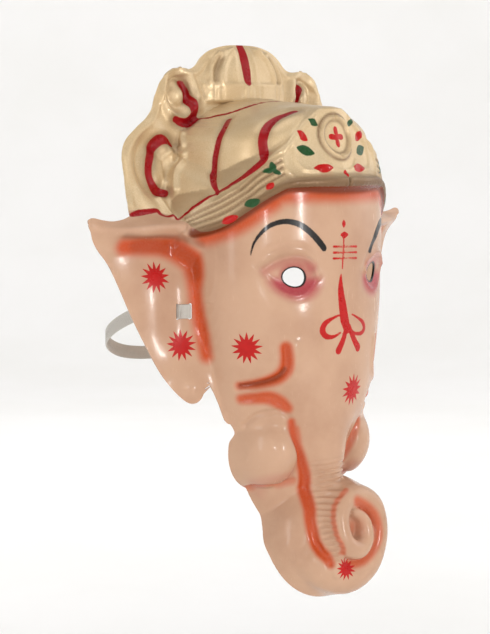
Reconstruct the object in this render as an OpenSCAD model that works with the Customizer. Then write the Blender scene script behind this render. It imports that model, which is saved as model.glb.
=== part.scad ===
// Festival face mask in the shape of an elephant's head with a trunk, large ears and a
// domed crown. One thin formed plastic sheet is worn in front of the face and held by a
// flat elastic strap that is threaded through two slits in each ear and stapled.
// Frame: +Z up, the face looks along -Y, X = 0 is the middle plane. The origin lies in the
// plane of the grooves where the ears meet the cheeks, 3 mm below the middle of the slits.

/* [Sheet] */
// Thickness of the formed sheet
wall = 1.2; // [1:0.1:1.6]
// Spacing of the points where the surface is worked out
grid = 5.6; // [5.6:0.2:7]

/* [Face] */
// Width of the face between the ears
face_w = 148; // [140:1:152]
// How far the forehead stands in front of the ear grooves
face_depth = 49.5; // [44:0.5:52]
// Distance between the middles of the eye holes
eye_gap = 72; // [66:1:76]
// Long diameter of an eye hole
eye_len = 14; // [11:0.5:16]
// Short diameter of an eye hole
eye_h = 11.5; // [9:0.5:13]

/* [Ears] */
// Ear tip to ear tip
ear_span = 288; // [280:1:294]
// Angle at which the ears sweep back
ear_sweep = 26; // [22:1:30]

/* [Crown] */
// Height of the crown's top above the origin
crown_top = 172; // [168:1:176]
// Width of the crown across its lower scrolls
crown_w = 223; // [216:1:228]

/* [Strap] */
// Width of the elastic
strap_w = 9; // [7:0.5:10]
// Thickness of the elastic
strap_t = 1.2; // [0.8:0.1:1.4]
// Height of the strap slits
slit_z = 3; // [1:0.5:5]
// Length of the solid web between the two slits of an ear
bridge = 5.2; // [4.5:0.1:6]

/* [Hidden] */

$fn = 48;
nowhere = 200;             // depth that stands for "this feature isn't here"
back_plane = 62;           // the surface is never worked out behind this depth
groove_x = 73;             // half distance between the ear grooves
wall_draft = 8;            // how steeply the sides run back, mm of depth for each mm out
mask_bottom = -187;
slit_w = 1.8;
slit_x = 80.3;             // middle of the web between the slits
slit_h = strap_w + 1.4;
gap = 0.15;                // clearance between neighbouring pieces

// ---- curves and blends ----
function ease(t) = let (s = min(1, max(0, t))) s * s * (3 - 2 * s);
function bell(d, w) = exp(-pow(d / w, 2));
function cap(q) = sqrt(max(0, 1 - q));
function near(a, b, r) = let (h = max(r - abs(a - b), 0) / r) min(a, b) - h * h * r / 4;
function span_of(p, v, i = 0) = i >= len(p) - 2 || v < p[i + 1][0] ? i : span_of(p, v, i + 1);
function slope_at(p, i) =
    let (a = p[max(i - 1, 0)], b = p[min(i + 1, len(p) - 1)]) (b[1] - a[1]) / (b[0] - a[0]);

// Smooth curve through [place, value] points, held level past both ends.
function curve(p, v) =
    let (c = min(max(v, p[0][0]), p[len(p) - 1][0]),
         i = span_of(p, c),
         h = p[i + 1][0] - p[i][0],
         s = (c - p[i][0]) / h,
         s2 = s * s,
         s3 = s2 * s)
    (2 * s3 - 3 * s2 + 1) * p[i][1] + (s3 - 2 * s2 + s) * h * slope_at(p, i)
    + (3 * s2 - 2 * s3) * p[i + 1][1] + (s3 - s2) * h * slope_at(p, i + 1);

// Points of a smooth line through the given ones.
function smooth(p, n = 4) = concat(
    [for (i = [0:len(p) - 2], k = [0:n - 1])
        let (t = k / n, a = p[max(i - 1, 0)], b = p[i], c = p[i + 1],
             d = p[min(i + 2, len(p) - 1)])
        0.5 * (2 * b + (c - a) * t + (2 * a - 5 * b + 4 * c - d) * t * t
               + (3 * b - a - 3 * c + d) * t * t * t)],
    [p[len(p) - 1]]);

function mirrored(p) = [for (i = [len(p) - 1:-1:0]) [-p[i][0], p[i][1]]];

// ---- the relief: each function gives the depth y of one feature at a place [x, z] ----

// Face: half width and front by height
face_half = [[-150, 28], [-130, 34], [-109, 41], [-85, 50], [-70, 56], [-50, 63], [-26, 67.5],
             [0, 71], [25, 73], [112, 73]];
face_front = [[-150, -22], [-109, -30], [-85, -36], [-70, -42], [-50, -46.5], [-26, -48.5],
              [0, -49.5], [60, -49.5], [90, -48], [112, -44]];

function face(ax, z) = z < -150 || z > 100 ? nowhere :
    let (a = curve(face_half, z) * face_w / 148,
         f = curve(face_front, z) * face_depth / 49.5,
         u = ax / a,
         y = u < 1 ? 5 - (5 - f) * cap(u * u) : 5 + (ax - a) * wall_draft)
    y + max(0, z - 80) * 3;

// Trunk: it hangs from the face, drifts to one side and narrows to a ribbed point
trunk_line = [[-165, -9], [-150, -6.5], [-131, -2.5], [-112, 1.5], [-98, 1.5], [-80, 0.5],
              [-40, 0]];
trunk_half = [[-168, 2], [-160, 6], [-148, 10.5], [-135, 14], [-110, 14.5], [-95, 16.5],
              [-80, 21], [-60, 30], [-40, 36]];
trunk_front = [[-168, -52], [-150, -52], [-135, -47], [-120, -42], [-105, -41], [-80, -43.5],
               [-60, -44], [-40, -36]];

function trunk(x, z) = z < -168 || z > -40 ? nowhere :
    let (a = curve(trunk_half, z), u = (x - curve(trunk_line, z)) / a)
    abs(u) >= 1 ? nowhere : curve(trunk_front, z) + min(22, a) * (1 - cap(u * u));

// Curled trunk end: the crest of the curl as [x, y, z, half thickness], from where it leaves
// the trunk, round the outside, to its tip in the middle
curl = smooth([[-19, -36, -148, 14], [-9, -50, -160.5, 15], [6, -56, -167.5, 14],
               [20, -58, -162, 12], [28, -58, -149, 9], [29.5, -57, -136, 8.5],
               [25, -56, -124.5, 8.5], [14, -54, -118.5, 8.5], [3, -54, -119, 8],
               [-4, -55, -127, 7.5], [-5, -57, -138, 7], [-1, -59, -147.5, 7],
               [8, -60, -151, 6.5], [15, -59, -146, 6], [16, -57.5, -137.5, 5.5],
               [13, -56, -131, 4.5], [7.5, -54.5, -127, 3.5]], 3);

function coil_part(x, z, a, b) =
    let (ex = b[0] - a[0],
         ez = b[2] - a[2],
         t = min(1, max(0, ((x - a[0]) * ex + (z - a[2]) * ez) / (ex * ex + ez * ez))),
         r = a[3] + (b[3] - a[3]) * t,
         q = (pow(x - a[0] - ex * t, 2) + pow(z - a[2] - ez * t, 2)) / (r * r))
    a[1] + (b[1] - a[1]) * t + r * (q < 1 ? 1 - cap(q) : 1 + 4 * (sqrt(q) - 1));

function coil(x, z) = min([for (i = [0:len(curl) - 2]) coil_part(x, z, curl[i], curl[i + 1])]);

function ball(x, z, c, r) =
    let (q = pow((x - c[0]) / r[0], 2) + pow((z - c[2]) / r[2], 2))
    q < 1 ? c[1] - r[1] * cap(q) : c[1] + (sqrt(q) - 1) * min(r[0], r[2]) * wall_draft;

// Swelling behind the curl, the filled middle of the curl, and the two short tusk sheaths
function trunk_root(x, z) = ball(x, z, [2, -14, -148], [36, 33, 42]);
function curl_middle(x, z) = ball(x, z, [6, -27, -137], [21, 23, 25]);
function tusk(ax, z) = ball(ax, z, [34, -9, -85.5], [20, 26, 26]);

// Diadem: a band round the forehead, by distance from the middle plane
band_low = [[0, 82.5], [20, 82.5], [42, 82], [52, 76.5], [61, 69], [70, 59.5], [78, 54],
            [84, 52]];
band_top = [[0, 131], [10, 130], [22, 122.5], [32, 114], [40, 107], [56, 96], [64, 86],
            [73, 77.5], [80, 68], [84, 62]];
band_front = [[0, -52.5], [15, -51], [30, -46.5], [45, -39], [55, -31.5], [64, -22.5],
              [73, -10], [80, 4], [84, 12]];
band_rise = [[0, 14], [22, 14], [40, 8], [55, 5], [70, 4], [84, 4]];

function diadem(ax, z) =
    let (low = curve(band_low, ax), top = curve(band_top, ax))
    ax > 84 || z < low - 25 || z > top + 8 ? nowhere :
    let (t = min(1, max(0, (z - low) / (top - low))),
         roll = 1.5 * cap(pow(2 * t - 1, 2)) * ease((ax - 30) / 20))
    curve(band_front, ax) + curve(band_rise, ax) * (1 - pow(1 - t, 1.7)) - roll
    + max(0, low - z) * 0.9 + max(0, z - top) * 14;

// Dome of the crown, by height
dome_half = [[55, 64], [75, 65], [90, 63.5], [105, 62], [114, 59], [121, 50], [126, 40],
             [131, 28], [134, 18], [136.5, 1]];
dome_front = [[55, -34], [110, -36], [122, -34], [127, -30], [131, -20], [134, 0], [135.5, 14],
              [136.5, 33]];
dome_back = 37;
dome_rows = [122, 138];    // heights between which the surface is worked out more closely
dome_power = 3.4;

function dome(ax, z) = z < 55 || z > 136.5 ? nowhere :
    let (a = curve(dome_half, z), f = curve(dome_front, z))
    ax >= a ? nowhere :
    dome_back - (dome_back - f) * pow(1 - pow(ax / a, dome_power), 1 / dome_power);

// Flat border of the crown with two scrolls on each side, the collar and the top knob
border = [[60, 24], [68, 27], [85, 34], [105, 39], [130, 42], [155, 46], [172, 48]];

function scroll(ax, z, c, r) =
    let (d = norm([(ax - c[0]) / r[0], (z - c[1]) / r[1]]))
    3 * bell(d - 1.35, 0.3) - 2.5 * bell(d - 0.8, 0.22) + 2 * bell(d, 0.45);

function crown_border(ax, z) = z < 58 || z > 178 ? nowhere :
    curve(border, z) + 0.08 * (ax - 64)
    - scroll(ax, z, [86, 92], [13, 20]) - scroll(ax, z, [58, 140], [10, 12]);

function collar(ax, z) = ax > 36 || abs(z - 140.5) > 6.5 ? nowhere :
    36 + 6 * pow(ax / 36, 2) - 3 * cap(pow((z - 140.5) / 6, 2));

function knob(ax, z) =
    let (q = pow(ax / 37, 2) + pow((z - 143) / (crown_top - 143), 2))
    q >= 1 || z < 135 ? nowhere : 46 - 12 * cap(q);

// Ear: a swept plate with a rolled top edge, a hollow under it and a full lobe
ear_ridge = [[60, 58], [80, 57], [100, 56.5], [120, 55], [144, 57]];

function ear(ax, z) = z < -70 || z > 80 || ax < 55 ? nowhere :
    let (above = z - curve(ear_ridge, ax))
    5 + tan(ear_sweep) * (ax - groove_x) + 6 * bell(ax - 80, 16) * ease((z + 45) / 40)
    - 8 * bell(above, 7.5)
    - 5 * exp(-pow((ax - 82) / 9, 2) - pow((z + 45) / 12, 2))
    + 5 * bell(z - 40, 14) * ease((130 - ax) / 35)
    + 1.6 * max(0, above - 1);

function eye_hollow(ax, z) = 5 * exp(-pow((ax - eye_gap / 2) / 15, 2) - pow((z - 24) / 10, 2));

// The whole front: features blend where they meet
function front(x, z) =
    let (ax = abs(x),
         head = near(face(ax, z), trunk(x, z), 5),
         jaw = z > -50 ? head : near(near(head, tusk(ax, z), 5), trunk_root(x, z), 10),
         low = z > -90 ? jaw : near(near(jaw, curl_middle(x, z), 4), coil(x, z), 3),
         skin = low + eye_hollow(ax, z),
         hat = z < 50 ? nowhere : near(near(near(dome(ax, z), crown_border(ax, z), 4),
                                            collar(ax, z), 2), knob(ax, z), 3),
         top = z < 25 ? skin : near(near(skin, diadem(ax, z), 2), hat, 2))
    min(back_plane, near(top, ear(ax, z), 5));

// ---- the sheet: the front, and a second surface one wall thickness behind it ----
function unit(v) = v / norm(v);

module sheet() {
    nx = 2 * ceil((ear_span / 2 + 4) / grid);
    x0 = -nx / 2 * grid;
    // rows lie closer together over the flat top of the dome, where the depth changes fast
    rows = concat([for (z = [mask_bottom - 5:grid:dome_rows[0] - grid / 2]) z],
                  [for (z = [dome_rows[0]:grid / 2:dome_rows[1]]) z],
                  [for (z = [dome_rows[1] + grid / 2:grid:crown_top + 8]) z]);
    nz = len(rows) - 1;
    skin = [for (z = rows) [for (i = [0:nx]) let (x = x0 + i * grid) [x, front(x, z), z]]];
    function at(i, k) = skin[min(nz, max(0, k))][min(nx, max(0, i))];
    // direction that halves the facets round a point, pointing to the wearer
    function corner(i, k, a, b) =
        let (p = at(i, k), u = at(i + a, k) - p, w = at(i, k + b) - p, n = cross(w, u) * a * b)
        norm(n) < 1e-6 ? [0, 1, 0] : unit(n);
    function inward(i, k) =
        let (c = [for (a = [-1, 1], b = [-1, 1]) corner(i, k, a, b)],
             n = unit(c[0] + c[1] + c[2] + c[3]),
             worst = min([for (v = c) v * n]))
        n * wall / max(0.65, worst);
    function id(i, k) = k * (nx + 1) + i;
    outer = [for (k = [0:nz], i = [0:nx]) at(i, k)];
    inner = [for (k = [0:nz], i = [0:nx]) at(i, k) + inward(i, k)];
    m = (nx + 1) * (nz + 1);
    cells = [for (k = [0:nz - 1], i = [0:nx - 1])
        [id(i, k), id(i + 1, k), id(i + 1, k + 1), id(i, k + 1)]];
    function split(q) = abs(outer[q[0]][1] - outer[q[2]][1]) < abs(outer[q[1]][1] - outer[q[3]][1])
        ? [[q[0], q[2], q[1]], [q[0], q[3], q[2]]]
        : [[q[1], q[3], q[2]], [q[1], q[0], q[3]]];
    function back(t) = [t[0] + m, t[2] + m, t[1] + m];
    rim = concat([for (i = [0:nx]) id(i, 0)], [for (k = [1:nz]) id(nx, k)],
                 [for (i = [nx - 1:-1:0]) id(i, nz)], [for (k = [nz - 1:-1:1]) id(0, k)]);
    sides = [for (j = [0:len(rim) - 1])
        let (a = rim[j], b = rim[(j + 1) % len(rim)]) each [[a, b, b + m], [a, b + m, a + m]]];
    tris = [for (q = cells) each split(q)];
    polyhedron(points = concat(outer, inner),
               faces = concat(tris, [for (t = tris) back(t)], sides),
               convexity = 12);
}

// ---- outlines that trim the sheet ----
crown_half_line = [[112, 58], [111, 70], [109, 85], [108, 100], [104, 110], [95, 118.5],
                   [86, 124.5], [80, 130], [76.5, 139], [72, 148], [64, 154], [55, 156],
                   [47, 155.5], [41, 158], [35.5, 163.5], [27, 168.5], [14, 171.5], [0, 172]];
ear_line = [[66, 61], [80, 64], [95, 66], [108, 64.5], [117, 61.5], [126, 60.3], [134, 61.3],
            [140, 62.6], [143.8, 61.5], [143.6, 57.5], [140.5, 52], [134, 42.5], [126, 30],
            [114.5, 1], [104, -22], [96, -38], [80, -40], [64, -24], [50, 0], [50, 60]];
ear_lobe = [[66, -22, 6], [87.5, -37, 8.5], [82.5, -45.5, 9]];
rim_line = [[-42, -190], [-31, -184], [-18, -161], [-9, -138], [0, -113], [0, -82],
            [-3.5, -75], [-1.3, -66], [0, -58], [3, -40], [6, -20], [6, 80]];

module crown_outline() {
    sx = crown_w / 223;
    sz = crown_top / 172;
    half = [for (p = smooth(crown_half_line)) [p[0] * sx, p[1] * sz]];
    polygon(concat(half, mirrored([for (i = [0:len(half) - 2]) half[i]]), [[-90, 40], [90, 40]]));
}

module ear_outline(side) {
    sx = ear_span / 288;
    polygon([for (p = smooth(ear_line, 3)) [side * p[0] * sx, p[1]]]);
    hull() for (c = ear_lobe) translate([side * c[0], c[1]]) circle(c[2]);
}

// A flat outline, drawn looking along +Y, made into a block right through the mask
module through(depth = 170) rotate([90, 0, 0]) linear_extrude(depth, center = true) children();

module kept_region() {
    through() crown_outline();
    for (side = [-1, 1]) through() ear_outline(side);
    line = smooth(rim_line, 3);
    rotate([90, 0, 90])
        linear_extrude(168, center = true)
            polygon(concat(line, [[-100, 80], [-100, -195], [-42, -195]]));
}

// ---- holes ----
module eye_hole(side) {
    tilt = -20;
    offset_x = (eye_len - eye_h) / 2;
    translate([side * eye_gap / 2, -30, 25])
        rotate([0, side * tilt, 0])
            hull() for (s = [-1, 1])
                translate([s * offset_x, 0, 0])
                    rotate([90, 0, 0]) cylinder(h = 70, d = eye_h, center = true);
}

module slit(side, x) {
    translate([side * x, 14, slit_z])
        hull() for (s = [-1, 1])
            translate([0, 0, s * (slit_h - slit_w) / 2])
                rotate([90, 0, 0]) cylinder(h = 40, d = slit_w, center = true, $fn = 16);
}

module mask_shell() {
    color("peachpuff") render() difference() {
        intersection() {
            sheet();
            kept_region();
        }
        for (side = [-1, 1]) {
            eye_hole(side);
            for (s = [-1, 1]) slit(side, slit_x + s * (bridge + slit_w) / 2);
        }
    }
}

// ---- strap ----
// Depth of the ear plate's front face at the slits
function ear_y(x) = front(x, slit_z);

// A ribbon of the elastic seen from above: centre line points to a closed outline
function ribbon(p, t) =
    let (n = len(p),
         side = [for (i = [0:n - 1])
            let (d = unit(p[min(i + 1, n - 1)] - p[max(i - 1, 0)])) [-d[1], d[0]] * t / 2])
    concat([for (i = [0:n - 1]) p[i] + side[i]], [for (i = [n - 1:-1:0]) p[i] - side[i]]);

stub_y = 36;               // where the strap starts to swing
stub_x = slit_x + 2.4;
tail_y = 31;
ply_gap = 0.1;             // between the two layers at a staple

// Threaded end: back out of the outer slit, over the web in front, and in at the inner slit
module strap_loop(side) {
    reach = (bridge + slit_w) / 2;
    outer_y = ear_y(slit_x + reach);
    inner_y = ear_y(slit_x - reach);
    lift = strap_t / 2 + 0.2;
    far = slit_x + reach + 0.1;
    close = slit_x - reach + 0.1;
    gather = stub_x - strap_t - ply_gap;
    path = [[stub_x, stub_y + strap_w / 2], [stub_x, 26], [far - 1.2, outer_y + 5],
            [far, outer_y + 1.5], [far - 0.2, outer_y - 0.2], [far - 1.4, outer_y - lift - 0.9],
            [close + 1.2, inner_y - lift], [close + 0.1, inner_y + 0.1],
            [close, inner_y + 2], [close + 1.5, inner_y + 6], [gather, 26], [gather, tail_y]];
    color("gainsboro")
        translate([0, 0, slit_z - strap_w / 2])
            linear_extrude(strap_w)
                polygon([for (p = ribbon(path, strap_t)) [side * p[0], p[1]]]);
}

module strap_loop_left() strap_loop(1);
module strap_loop_right() strap_loop(-1);

// Wire staple through both layers: a long back outside and two clinched legs inside
module staple(side) {
    wire = 0.6;
    long = 6.4;
    reach = 2 * strap_t + ply_gap + gap;
    mid_x = stub_x - (strap_t + ply_gap) / 2;
    color("silver")
        translate([side * mid_x, 28.5, slit_z]) {
            translate([side * (reach + wire) / 2, 0, 0]) cube([wire, wire, long], center = true);
            for (s = [-1, 1]) {
                translate([0, 0, s * (long - wire) / 2])
                    cube([reach + 2 * wire, wire, wire], center = true);
                translate([-side * (reach + wire) / 2, 0, s * (long / 2 - 1.2)])
                    cube([wire, wire, 2.4], center = true);
            }
        }
}

module staple_left() staple(1);
module staple_right() staple(-1);

// Right half of the free strap, from its lap on the stub round to the middle of the back
lap_x = stub_x + strap_t + gap;
strap_half = [[lap_x, stub_y - strap_w / 2, slit_z], [lap_x, stub_y, slit_z], [84.5, 44, 2],
              [85, 54, -1], [84.5, 65, -5], [82.5, 77, -10], [78, 89, -15.5], [70, 100, -21],
              [58, 109, -27], [42, 116, -32], [22, 120, -35], [0, 121, -36]];
strap_route = concat(strap_half,
                     [for (i = [len(strap_half) - 2:-1:0])
                         [-strap_half[i][0], strap_half[i][1], strap_half[i][2]]]);

module band(route) {
    n = len(route);
    function dir(i) = unit(route[min(i + 1, n - 1)] - route[max(i - 1, 0)]);
    function out(i) = unit([dir(i)[1], -dir(i)[0], 0]);
    function up(i) = cross(out(i), dir(i));
    ring = [[-1, -1], [1, -1], [1, 1], [-1, 1]];
    points = [for (i = [0:n - 1], c = ring)
        route[i] + out(i) * c[0] * strap_t / 2 + up(i) * c[1] * strap_w / 2];
    walls = [for (i = [0:n - 2], j = [0:3]) let (a = i * 4 + j, b = i * 4 + (j + 1) % 4)
        each [[a, b, b + 4], [a, b + 4, a + 4]]];
    last = (n - 1) * 4;
    polyhedron(points, concat(walls, [[0, 2, 1], [0, 3, 2]],
        [[last, last + 1, last + 2], [last, last + 2, last + 3]]));
}

module head_strap() color("gainsboro") band(strap_route);

mask_shell();
strap_loop_left();
strap_loop_right();
staple_left();
staple_right();
head_strap();
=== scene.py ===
"""Festival mask in the shape of an elephant's head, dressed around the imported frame.

The form and the marks are worked out in millimetres in the frame's own axes (+Z up, the face
looks along -Y, X = 0 is the middle plane) and become metres where a mesh is made. Places on the
face are given as [x, z] or, where left and right are alike, as [distance from the middle, z].
"""
import math

import bpy
import numpy as np
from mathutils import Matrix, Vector


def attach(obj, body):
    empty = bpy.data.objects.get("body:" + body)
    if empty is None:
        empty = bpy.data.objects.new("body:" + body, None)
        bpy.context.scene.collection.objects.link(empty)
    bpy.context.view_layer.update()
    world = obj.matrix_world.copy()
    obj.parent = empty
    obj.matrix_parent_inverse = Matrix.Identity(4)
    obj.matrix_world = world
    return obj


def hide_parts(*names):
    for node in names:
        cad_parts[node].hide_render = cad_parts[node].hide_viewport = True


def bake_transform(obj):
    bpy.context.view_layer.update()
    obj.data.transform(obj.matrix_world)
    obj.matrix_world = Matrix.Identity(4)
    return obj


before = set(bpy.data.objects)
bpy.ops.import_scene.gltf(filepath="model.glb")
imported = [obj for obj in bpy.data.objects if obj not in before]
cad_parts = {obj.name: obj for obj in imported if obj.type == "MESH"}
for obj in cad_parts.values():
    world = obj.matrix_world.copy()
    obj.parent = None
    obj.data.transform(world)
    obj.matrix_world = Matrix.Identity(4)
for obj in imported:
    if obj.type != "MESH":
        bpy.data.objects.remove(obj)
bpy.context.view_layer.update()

MM = 0.001

# ---------------------------------------------------------------- camera
CAMERA_AZIMUTH = -45
CAMERA_ELEVATION = 5
CAMERA_DISTANCE = 1.3
CAMERA_SHIFT_RIGHT = -0.0286
CAMERA_SHIFT_UP = -0.00455
CAMERA_LENS = 113.6


def make_camera():
    a, e = math.radians(CAMERA_AZIMUTH), math.radians(CAMERA_ELEVATION)
    back = Vector((math.sin(a) * math.cos(e), -math.cos(a) * math.cos(e), math.sin(e)))
    turn = (-back).to_track_quat("-Z", "Y")
    right = turn @ Vector((1, 0, 0))
    up = turn @ Vector((0, 1, 0))
    data = bpy.data.cameras.new("camera")
    data.lens = CAMERA_LENS
    data.sensor_width = 36
    data.clip_end = 100
    camera = bpy.data.objects.new("camera", data)
    camera.location = back * CAMERA_DISTANCE + right * CAMERA_SHIFT_RIGHT + up * CAMERA_SHIFT_UP
    camera.rotation_mode = "QUATERNION"
    camera.rotation_quaternion = turn
    bpy.context.scene.collection.objects.link(camera)
    bpy.context.scene.camera = camera


# ---------------------------------------------------------------- curves and blends
NOWHERE = 200.0            # depth that stands for "this feature isn't here"
WALL_DRAFT = 8.0           # how steeply the sides run back, mm of depth for each mm out


def ease(t):
    s = np.clip(t, 0, 1)
    return s * s * (3 - 2 * s)


def bell(d, w):
    return np.exp(-(d / w) ** 2)


def cap(q):
    return np.sqrt(np.maximum(0, 1 - q))


def near(a, b, r):
    """The smaller of two depths, rounded over r where they meet."""
    h = np.maximum(r - np.abs(a - b), 0) / r
    return np.minimum(a, b) - h * h * r / 4


def curve(table, v):
    """Smooth curve through [place, value] points, held level past both ends."""
    p, f = np.array(table, float).T
    slope = np.empty_like(f)
    slope[1:-1] = (f[2:] - f[:-2]) / (p[2:] - p[:-2])
    slope[0] = (f[1] - f[0]) / (p[1] - p[0])
    slope[-1] = (f[-1] - f[-2]) / (p[-1] - p[-2])
    c = np.clip(v, p[0], p[-1])
    i = np.clip(np.searchsorted(p, c, side="right") - 1, 0, len(p) - 2)
    h = p[i + 1] - p[i]
    s = (c - p[i]) / h
    s2, s3 = s * s, s * s * s
    return ((2 * s3 - 3 * s2 + 1) * f[i] + (s3 - 2 * s2 + s) * h * slope[i]
            + (3 * s2 - 2 * s3) * f[i + 1] + (s3 - s2) * h * slope[i + 1])


def smooth(points, steps=5):
    """Points of a smooth line through the given ones."""
    p = np.array(points, float)
    last = len(p) - 1
    out = []
    for i in range(last):
        a, b, c, d = p[max(i - 1, 0)], p[i], p[i + 1], p[min(i + 2, last)]
        for t in np.arange(steps) / steps:
            out.append(0.5 * (2 * b + (c - a) * t + (2 * a - 5 * b + 4 * c - d) * t * t
                              + (3 * b - a - 3 * c + d) * t ** 3))
    out.append(p[last])
    return np.array(out)


# ---------------------------------------------------------------- the form of the shell
FACE_HALF = [[-150, 28], [-130, 34], [-109, 41], [-85, 50], [-70, 56], [-50, 63], [-26, 67.5],
             [0, 71], [25, 73], [112, 73]]
FACE_FRONT = [[-150, -22], [-109, -30], [-85, -36], [-70, -42], [-50, -46.5], [-26, -48.5],
              [0, -49.5], [60, -49.5], [90, -48], [112, -44]]
FACE_BACK = 5


def face(ax, z):
    a, f = curve(FACE_HALF, z), curve(FACE_FRONT, z)
    u = ax / a
    y = np.where(u < 1, FACE_BACK - (FACE_BACK - f) * cap(u * u), FACE_BACK + (ax - a) * WALL_DRAFT)
    y = y + np.maximum(0, z - 80) * 3
    return np.where((z < -150) | (z > 100), NOWHERE, y)


TRUNK_LINE = [[-165, -9], [-150, -6.5], [-131, -2.5], [-112, 1.5], [-98, 1.5], [-80, 0.5],
              [-40, 0]]
TRUNK_HALF = [[-168, 2], [-160, 6], [-148, 10.5], [-135, 14], [-110, 14.5], [-95, 16.5], [-80, 21],
              [-60, 30], [-40, 36]]
TRUNK_FRONT = [[-168, -52], [-150, -52], [-135, -47], [-120, -42], [-105, -41], [-80, -43.5],
               [-60, -44], [-40, -36]]


def trunk(x, z):
    a = curve(TRUNK_HALF, z)
    u = (x - curve(TRUNK_LINE, z)) / a
    y = curve(TRUNK_FRONT, z) + np.minimum(22, a) * (1 - cap(u * u))
    return np.where((np.abs(u) >= 1) | (z < -168) | (z > -40), NOWHERE, y)


# Curled end of the trunk: the crest of the curl as [x, y, z, half thickness], from where it
# leaves the trunk, round the outside, to its tip in the middle
CURL = [[-19, -36, -148, 14], [-9, -50, -160.5, 15], [6, -56, -167.5, 14], [20, -58, -162, 12],
        [28, -58, -149, 9], [29.5, -57, -136, 8.5], [25, -56, -124.5, 8.5], [14, -54, -118.5, 8.5],
        [3, -54, -119, 8], [-4, -55, -127, 7.5], [-5, -57, -138, 7], [-1, -59, -147.5, 7],
        [8, -60, -151, 6.5], [15, -59, -146, 6], [16, -57.5, -137.5, 5.5], [13, -56, -131, 4.5],
        [7.5, -54.5, -127, 3.5]]


def coil(x, z):
    line = smooth(CURL, 4)
    out = np.full(x.shape, NOWHERE)
    for a, b in zip(line[:-1], line[1:]):
        ex, ez, wx, wz = b[0] - a[0], b[2] - a[2], x - a[0], z - a[2]
        t = np.clip((wx * ex + wz * ez) / (ex * ex + ez * ez), 0, 1)
        r = a[3] + (b[3] - a[3]) * t
        q = ((wx - ex * t) ** 2 + (wz - ez * t) ** 2) / (r * r)
        crest = a[1] + (b[1] - a[1]) * t
        out = np.minimum(out, crest + r * np.where(q < 1, 1 - cap(q), 1 + 4 * (np.sqrt(q) - 1)))
    return out


def ball(x, z, centre, radii):
    q = ((x - centre[0]) / radii[0]) ** 2 + ((z - centre[2]) / radii[2]) ** 2
    wall = centre[1] + (np.sqrt(q) - 1) * min(radii[0], radii[2]) * WALL_DRAFT
    return np.where(q < 1, centre[1] - radii[1] * cap(q), wall)


BAND_LOW = [[0, 82.5], [20, 82.5], [42, 82], [52, 76.5], [61, 69], [70, 59.5], [78, 54], [84, 52]]
BAND_TOP = [[0, 131], [10, 130], [22, 122.5], [32, 114], [40, 107], [56, 96], [64, 86],
            [73, 77.5], [80, 68], [84, 62]]
BAND_FRONT = [[0, -52.5], [15, -51], [30, -46.5], [45, -39], [55, -31.5], [64, -22.5],
              [73, -10], [80, 4], [84, 12]]
BAND_RISE = [[0, 14], [22, 14], [40, 8], [55, 5], [70, 4], [84, 4]]


def diadem(ax, z):
    low, top = curve(BAND_LOW, ax), curve(BAND_TOP, ax)
    t = np.clip((z - low) / (top - low), 0, 1)
    roll = 1.5 * cap((2 * t - 1) ** 2) * ease((ax - 30) / 20)
    y = (curve(BAND_FRONT, ax) + curve(BAND_RISE, ax) * (1 - (1 - t) ** 1.7) - roll
         + np.maximum(0, low - z) * 0.9 + np.maximum(0, z - top) * 14)
    return np.where((ax > 84) | (z < low - 25) | (z > top + 8), NOWHERE, y)


DOME_HALF = [[55, 64], [75, 65], [90, 63.5], [105, 62], [114, 59], [121, 50], [126, 40],
             [131, 28], [134, 18], [136.5, 1]]
DOME_FRONT = [[55, -34], [110, -36], [122, -34], [127, -30], [131, -20], [134, 0], [135.5, 14],
              [136.5, 33]]
DOME_BACK = 37
DOME_POWER = 3.4
DOME_Z = (55, 136.5)


def dome(ax, z):
    a, f = curve(DOME_HALF, z), curve(DOME_FRONT, z)
    u = np.clip(ax / a, 0, 1)
    y = DOME_BACK - (DOME_BACK - f) * (1 - u ** DOME_POWER) ** (1 / DOME_POWER)
    return np.where((ax >= a) | (z < DOME_Z[0]) | (z > DOME_Z[1]), NOWHERE, y)


BORDER = [[60, 24], [68, 27], [85, 34], [105, 39], [130, 42], [155, 46], [172, 48]]
CROWN_TOP = 172
# Centre and radii of the two scrolls on each side of the crown, as [distance from the middle, z]
SCROLLS = [((86, 92), (13, 20)), ((58, 140), (10, 12))]
COLLAR_Z = 140.5
COLLAR_HALF = 36
KNOB_Z = 143
KNOB_HALF = 37


def scroll(ax, z, centre, radii):
    d = np.hypot((ax - centre[0]) / radii[0], (z - centre[1]) / radii[1])
    return 3 * bell(d - 1.35, 0.3) - 2.5 * bell(d - 0.8, 0.22) + 2 * bell(d, 0.45)


def crown_border(ax, z):
    y = curve(BORDER, z) + 0.08 * (ax - 64)
    for centre, radii in SCROLLS:
        y = y - scroll(ax, z, centre, radii)
    return np.where((z < 58) | (z > 178), NOWHERE, y)


def collar(ax, z):
    y = 36 + 6 * (ax / COLLAR_HALF) ** 2 - 3 * cap(((z - COLLAR_Z) / 6) ** 2)
    return np.where((ax > COLLAR_HALF) | (np.abs(z - COLLAR_Z) > 6.5), NOWHERE, y)


def knob(ax, z):
    q = (ax / KNOB_HALF) ** 2 + ((z - KNOB_Z) / (CROWN_TOP - KNOB_Z)) ** 2
    return np.where((q >= 1) | (z < 135), NOWHERE, 46 - 12 * cap(q))


EAR_RIDGE = [[60, 58], [80, 57], [100, 56.5], [120, 55], [144, 57]]
EAR_SWEEP = math.tan(math.radians(26))
EAR_ROOT = 73


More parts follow.
